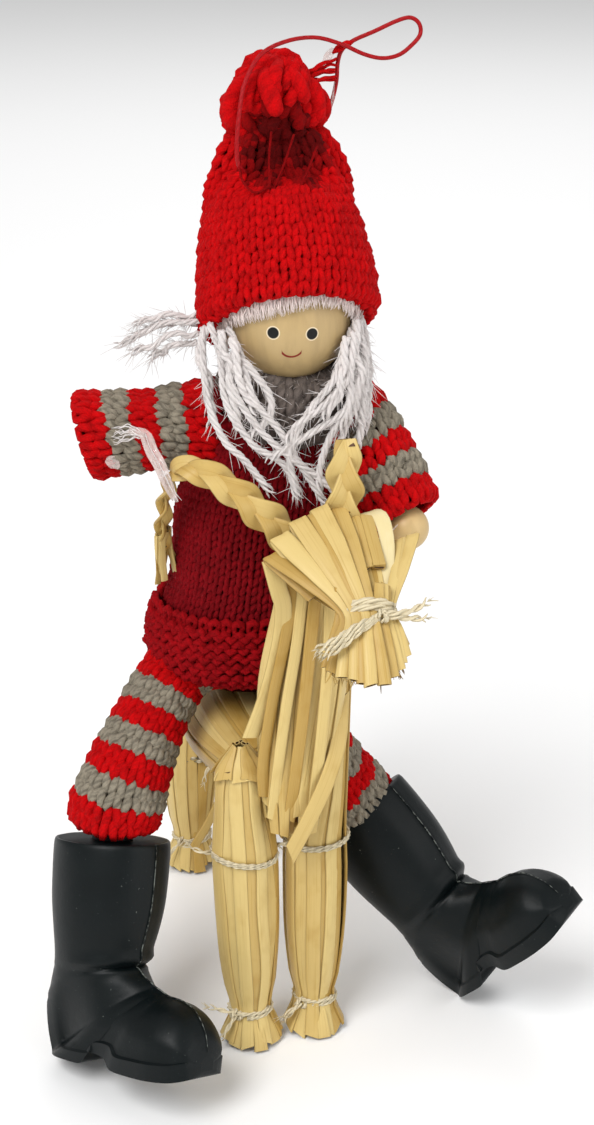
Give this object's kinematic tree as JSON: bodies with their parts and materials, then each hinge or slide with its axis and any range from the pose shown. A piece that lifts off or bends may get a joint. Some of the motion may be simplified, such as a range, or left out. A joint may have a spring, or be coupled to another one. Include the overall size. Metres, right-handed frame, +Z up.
{
  "type": "straw goat ornament with knitted gnome rider",
  "caption": "Hanging ornament: a straw Yule goat with plaited horns, ridden by a knitted gnome in a red hat, with a thin red cord to hang it by.",
  "frame": {"origin": "on the surface that the goat's feet stand on, under the middle of the figure's own box, measured without the hanging loop", "axes": "+Z up, the goat and its rider look along -Y, +X is to the right of someone who faces them"},
  "size_m": [0.111, 0.1164, 0.2061],
  "materials": {
    "straw": "flattened wheat straw, satin gloss, golden, browner in the gaps",
    "braid": "plaited straw, satin gloss",
    "cotton": "undyed cotton thread, matt, frayed ends",
    "red_yarn": "bright red plied acrylic yarn, knitted",
    "dark_red_yarn": "dark red plied yarn, knitted finer",
    "striped_yarn": "knitted stripes of red and grey-beige yarn",
    "grey_mohair": "fuzzy grey-brown mohair yarn",
    "white_yarn": "white plied yarn, slightly pink",
    "beech": "turned wooden ball, satin, painted eyes and mouth",
    "boot_plastic": "moulded soft plastic, black-green, satin gloss",
    "red_cord": "thin twisted red cord"
  },
  "bodies": {
    "root": {"goat_body": "straw", "goat_neck": "straw", "goat_leg_front_left": "straw", "goat_leg_front_right": "straw", "goat_leg_hind_left": "straw", "goat_leg_hind_right": "straw", "goat_head": "straw", "goat_horn_left": "braid", "goat_horn_right": "braid", "ankle_tie_front_left": "cotton", "ankle_tie_front_right": "cotton", "ankle_tie_hind_left": "cotton", "ankle_tie_hind_right": "cotton", "front_leg_tie": "cotton", "hind_leg_tie": "cotton", "muzzle_tie": "cotton", "head": "beech", "scarf": "grey_mohair", "tunic": "dark_red_yarn", "sleeve_left": "striped_yarn", "sleeve_right": "striped_yarn", "hand_right": "beech", "boot_left": "boot_plastic", "boot_right": "boot_plastic", "leg_left": "striped_yarn", "leg_right": "striped_yarn", "hat": "red_yarn", "hair_band": "white_yarn", "hair_lock_left": "white_yarn", "hair_lock_right": "white_yarn", "hanging_loop": "red_cord"}
  },
  "joints": []
}
